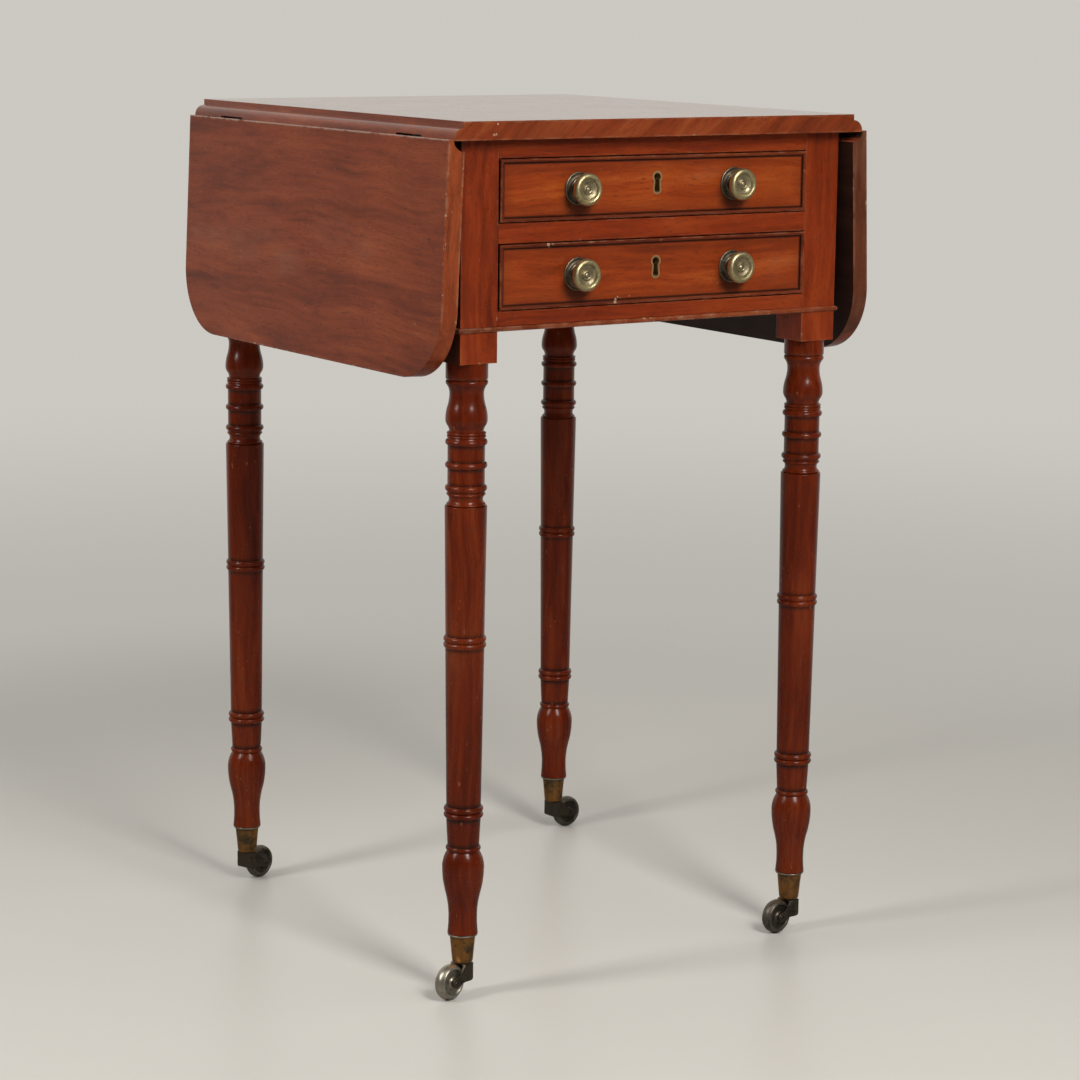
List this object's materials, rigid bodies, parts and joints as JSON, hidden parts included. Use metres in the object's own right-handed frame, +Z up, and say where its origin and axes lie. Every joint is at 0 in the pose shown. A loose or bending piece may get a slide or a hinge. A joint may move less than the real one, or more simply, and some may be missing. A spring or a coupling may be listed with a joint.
{
  "type": "drop-leaf work table",
  "caption": "Drop-leaf occasional table with rule-jointed side leaves, stacked cockbeaded drawers with turned brass knobs, ring-turned legs and brass cup castors.",
  "frame": {"origin": "on the floor, midway between the four legs", "axes": "+X to the right along the drawer fronts, the drawers open towards -Y, +Z up"},
  "size_m": [0.4326, 0.4417, 0.72],
  "materials": {
    "leg_mahogany": "waxed, dark red-brown",
    "case_mahogany": "polished, red-brown",
    "top_mahogany": "polished, red-brown",
    "drawer_mahogany": "polished, orange-brown",
    "drawer_lining": "bare, pale brown",
    "secondary_wood": "bare, brown",
    "knob_brass": "antique, worn",
    "lock_brass": "dull",
    "castor_brass": "tarnished",
    "iron_hardware": "dark, dull"
  },
  "bodies": {
    "carcase": {"leg_front_left": "leg_mahogany", "leg_front_right": "leg_mahogany", "leg_back_left": "leg_mahogany", "leg_back_right": "leg_mahogany", "side_panel_left": "case_mahogany", "side_panel_right": "case_mahogany", "back_panel": "case_mahogany", "front_top_rail": "case_mahogany", "front_middle_rail": "case_mahogany", "front_bottom_rail": "case_mahogany", "base_bead": "case_mahogany", "drawer_runners": "secondary_wood", "drawer_stops": "secondary_wood", "top_board": "top_mahogany", "top_screws": "iron_hardware", "hinge_top_flaps": "iron_hardware", "hinge_pins": "iron_hardware", "fly_bracket_blocks": "secondary_wood", "fly_bracket_pins": "iron_hardware", "castor_cups": "castor_brass"},
    "left_leaf": {"left_leaf": "top_mahogany", "left_leaf_hinge_flaps": "iron_hardware"},
    "right_leaf": {"right_leaf": "top_mahogany", "right_leaf_hinge_flaps": "iron_hardware"},
    "left_fly_bracket": {"left_fly_bracket": "secondary_wood"},
    "right_fly_bracket": {"right_fly_bracket": "secondary_wood"},
    "upper_drawer": {"upper_drawer_front": "drawer_mahogany", "upper_drawer_left_side": "drawer_lining", "upper_drawer_right_side": "drawer_lining", "upper_drawer_back": "drawer_lining", "upper_drawer_bottom": "drawer_lining", "upper_drawer_cockbeads": "drawer_mahogany", "upper_drawer_knobs": "knob_brass", "upper_drawer_roses": "knob_brass", "upper_drawer_escutcheon": "knob_brass", "upper_drawer_lock_case": "lock_brass"},
    "upper_lock_bolt": {"upper_drawer_lock_bolt": "iron_hardware"},
    "lower_drawer": {"lower_drawer_front": "drawer_mahogany", "lower_drawer_left_side": "drawer_lining", "lower_drawer_right_side": "drawer_lining", "lower_drawer_back": "drawer_lining", "lower_drawer_bottom": "drawer_lining", "lower_drawer_cockbeads": "drawer_mahogany", "lower_drawer_knobs": "knob_brass", "lower_drawer_roses": "knob_brass", "lower_drawer_escutcheon": "knob_brass", "lower_drawer_lock_case": "lock_brass"},
    "lower_lock_bolt": {"lower_drawer_lock_bolt": "iron_hardware"},
    "castor_front_left": {"castor_fork_front_left": "castor_brass", "castor_axle_front_left": "iron_hardware"},
    "wheel_front_left": {"castor_wheel_front_left": "castor_brass"},
    "castor_front_right": {"castor_fork_front_right": "castor_brass", "castor_axle_front_right": "iron_hardware"},
    "wheel_front_right": {"castor_wheel_front_right": "castor_brass"},
    "castor_back_left": {"castor_fork_back_left": "castor_brass", "castor_axle_back_left": "iron_hardware"},
    "wheel_back_left": {"castor_wheel_back_left": "castor_brass"},
    "castor_back_right": {"castor_fork_back_right": "castor_brass", "castor_axle_back_right": "iron_hardware"},
    "wheel_back_right": {"castor_wheel_back_right": "castor_brass"}
  },
  "joints": [
    {"name": "left_leaf_hinge", "type": "hinge", "parent": "carcase", "child": "left_leaf", "pos_m": [-0.194, 0, 0.706], "axis": [0, 1, 0], "range_deg": [0, 87.5]},
    {"name": "right_leaf_hinge", "type": "hinge", "parent": "carcase", "child": "right_leaf", "pos_m": [0.194, 0, 0.706], "axis": [0, -1, 0], "range_deg": [0, 87.5]},
    {"name": "left_fly_bracket_swing", "type": "hinge", "parent": "carcase", "child": "left_fly_bracket", "pos_m": [-0.18175, 0.05, 0.677], "axis": [0, 0, -1], "range_deg": [0, 1.5]},
    {"name": "right_fly_bracket_swing", "type": "hinge", "parent": "carcase", "child": "right_fly_bracket", "pos_m": [0.18175, 0.05, 0.677], "axis": [0, 0, 1], "range_deg": [0, 1.5]},
    {"name": "upper_drawer_slide", "type": "slide", "parent": "carcase", "child": "upper_drawer", "axis": [0, -1, 0], "range_m": [0, 0.25]},
    {"name": "upper_lock_bolt_throw", "type": "slide", "parent": "upper_drawer", "child": "upper_lock_bolt", "axis": [0, 0, 1], "range_m": [0, 0.006]},
    {"name": "lower_drawer_slide", "type": "slide", "parent": "carcase", "child": "lower_drawer", "axis": [0, -1, 0], "range_m": [0, 0.25]},
    {"name": "lower_lock_bolt_throw", "type": "slide", "parent": "lower_drawer", "child": "lower_lock_bolt", "axis": [0, 0, 1], "range_m": [0, 0.006]},
    {"name": "castor_swivel_front_left", "type": "hinge", "parent": "carcase", "child": "castor_front_left", "pos_m": [-0.171, -0.18875, 0.035], "axis": [0, 0, 1], "continuous": true},
    {"name": "castor_wheel_spin_front_left", "type": "hinge", "parent": "castor_front_left", "child": "wheel_front_left", "pos_m": [-0.1866, -0.19412, 0.015], "axis": [0.3256, -0.9455, 0], "continuous": true},
    {"name": "castor_swivel_front_right", "type": "hinge", "parent": "carcase", "child": "castor_front_right", "pos_m": [0.171, -0.18875, 0.035], "axis": [0, 0, 1], "continuous": true},
    {"name": "castor_wheel_spin_front_right", "type": "hinge", "parent": "castor_front_right", "child": "wheel_front_right", "pos_m": [0.1548, -0.1919, 0.015], "axis": [0.1908, -0.9816, 0], "continuous": true},
    {"name": "castor_swivel_back_left", "type": "hinge", "parent": "carcase", "child": "castor_back_left", "pos_m": [-0.171, 0.18875, 0.035], "axis": [0, 0, 1], "continuous": true},
    {"name": "castor_wheel_spin_back_left", "type": "hinge", "parent": "castor_back_left", "child": "wheel_back_left", "pos_m": [-0.1555, 0.19439, 0.015], "axis": [-0.342, 0.9397, 0], "continuous": true},
    {"name": "castor_swivel_back_right", "type": "hinge", "parent": "carcase", "child": "castor_back_right", "pos_m": [0.171, 0.18875, 0.035], "axis": [0, 0, 1], "continuous": true},
    {"name": "castor_wheel_spin_back_right", "type": "hinge", "parent": "castor_back_right", "child": "wheel_back_right", "pos_m": [0.18741, 0.19047, 0.015], "axis": [-0.1045, 0.9945, 0], "continuous": true}
  ]
}
